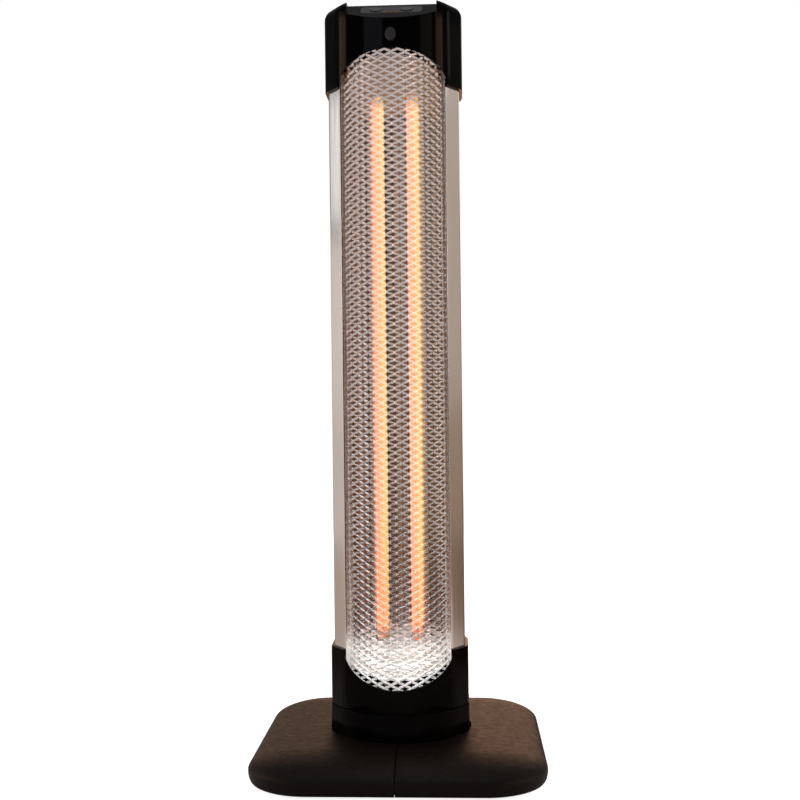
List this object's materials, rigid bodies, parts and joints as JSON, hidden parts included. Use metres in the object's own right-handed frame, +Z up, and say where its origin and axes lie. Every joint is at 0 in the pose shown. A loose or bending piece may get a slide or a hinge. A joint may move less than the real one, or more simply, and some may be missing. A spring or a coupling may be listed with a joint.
{
  "type": "outdoor heater",
  "caption": "Free-standing infrared tower heater: carbon tubes behind an expanded metal grille in a bright column, with gloss black caps and a heavy square base.",
  "frame": {"origin": "on the floor, under the middle of the square base", "axes": "+Z up along the column, -Y towards the heated side, +X to the right seen from the front"},
  "size_m": [0.302, 0.302, 0.8],
  "materials": {
    "gloss_black": "gloss moulded plastic",
    "textured_black": "fine spark-eroded texture",
    "polished_aluminium": "polished and clear anodised",
    "mesh_steel": "bright plated expanded mesh",
    "reflector_aluminium": "bright rolled",
    "end_plate_aluminium": "satin rolled",
    "ballast_steel": "black powder coat",
    "zinc_steel": "zinc plated",
    "screw_steel": "zinc plated",
    "foot_rubber": "matte",
    "quartz": "clear drawn quartz",
    "carbon": "glowing carbon",
    "ceramic_white": "unglazed steatite",
    "switch_plastic": "plain moulded",
    "spring_steel": "drawn wire",
    "lead_sleeve": "braided glass sleeve",
    "harness_sleeve": "braided sleeve",
    "board_green": "solder mask",
    "relay_blue": "moulded",
    "panel_black": "printed overlay",
    "button_grey": "satin moulded",
    "lamp_red": "diffuse lens",
    "smoked_window": "smoked polycarbonate",
    "rocker_red": "moulded"
  },
  "bodies": {
    "root": {"base_plate": "ballast_steel", "base_cover_left": "textured_black", "base_cover_right": "textured_black", "rubber_feet": "foot_rubber", "cover_screws": "screw_steel", "column_screws": "screw_steel", "foot_collar": "gloss_black", "cord_gland": "foot_rubber", "tip_switch_body": "switch_plastic", "tip_spring": "spring_steel", "lower_cap": "gloss_black", "upper_cap": "gloss_black", "column_housing": "polished_aluminium", "grille": "mesh_steel", "reflector": "reflector_aluminium", "reflector_stays": "zinc_steel", "upper_reflector_plate": "end_plate_aluminium", "lower_reflector_plate": "end_plate_aluminium", "quartz_tube_left": "quartz", "quartz_tube_right": "quartz", "carbon_element_left": "carbon", "carbon_element_right": "carbon", "ceramic_ends_left": "ceramic_white", "ceramic_ends_right": "ceramic_white", "upper_tube_bracket": "zinc_steel", "lower_tube_bracket": "zinc_steel", "rear_screws_upper": "screw_steel", "rear_screws_lower": "screw_steel", "thermal_cutout": "switch_plastic", "tube_leads_upper": "lead_sleeve", "tube_leads_lower": "lead_sleeve", "wire_harness": "harness_sleeve", "terminal_block": "switch_plastic", "heat_shield": "zinc_steel", "control_board": "board_green", "board_relays": "relay_blue", "tact_switches": "button_grey", "board_screws": "screw_steel", "control_panel": "panel_black", "indicator_lights": "lamp_red", "ir_window": "smoked_window", "rocker_frame": "gloss_black"},
    "tip_plunger": {"tip_plunger": "switch_plastic"},
    "rocker_key": {"rocker_key": "rocker_red"},
    "power_button": {"power_button": "button_grey"},
    "level_button": {"level_button": "button_grey"}
  },
  "joints": [
    {"name": "tip_plunger_slide", "type": "slide", "parent": "root", "child": "tip_plunger", "axis": [0, 0, 1], "range_m": [-0.005, 0], "stiffness_N_per_m": 40, "springref_m": -0.007, "deforming": ["tip_spring"]},
    {"name": "rocker_tilt", "type": "hinge", "parent": "root", "child": "rocker_key", "pos_m": [0, 0.0515, 0.0788], "axis": [1, 0, 0], "range_deg": [-22, 0]},
    {"name": "power_button_press", "type": "slide", "parent": "root", "child": "power_button", "axis": [0, 0.5299, -0.848], "range_m": [0, 0.0012], "stiffness_N_per_m": 500, "springref_m": -0.0005},
    {"name": "level_button_press", "type": "slide", "parent": "root", "child": "level_button", "axis": [0, 0.5299, -0.848], "range_m": [0, 0.0012], "stiffness_N_per_m": 500, "springref_m": -0.0005}
  ]
}
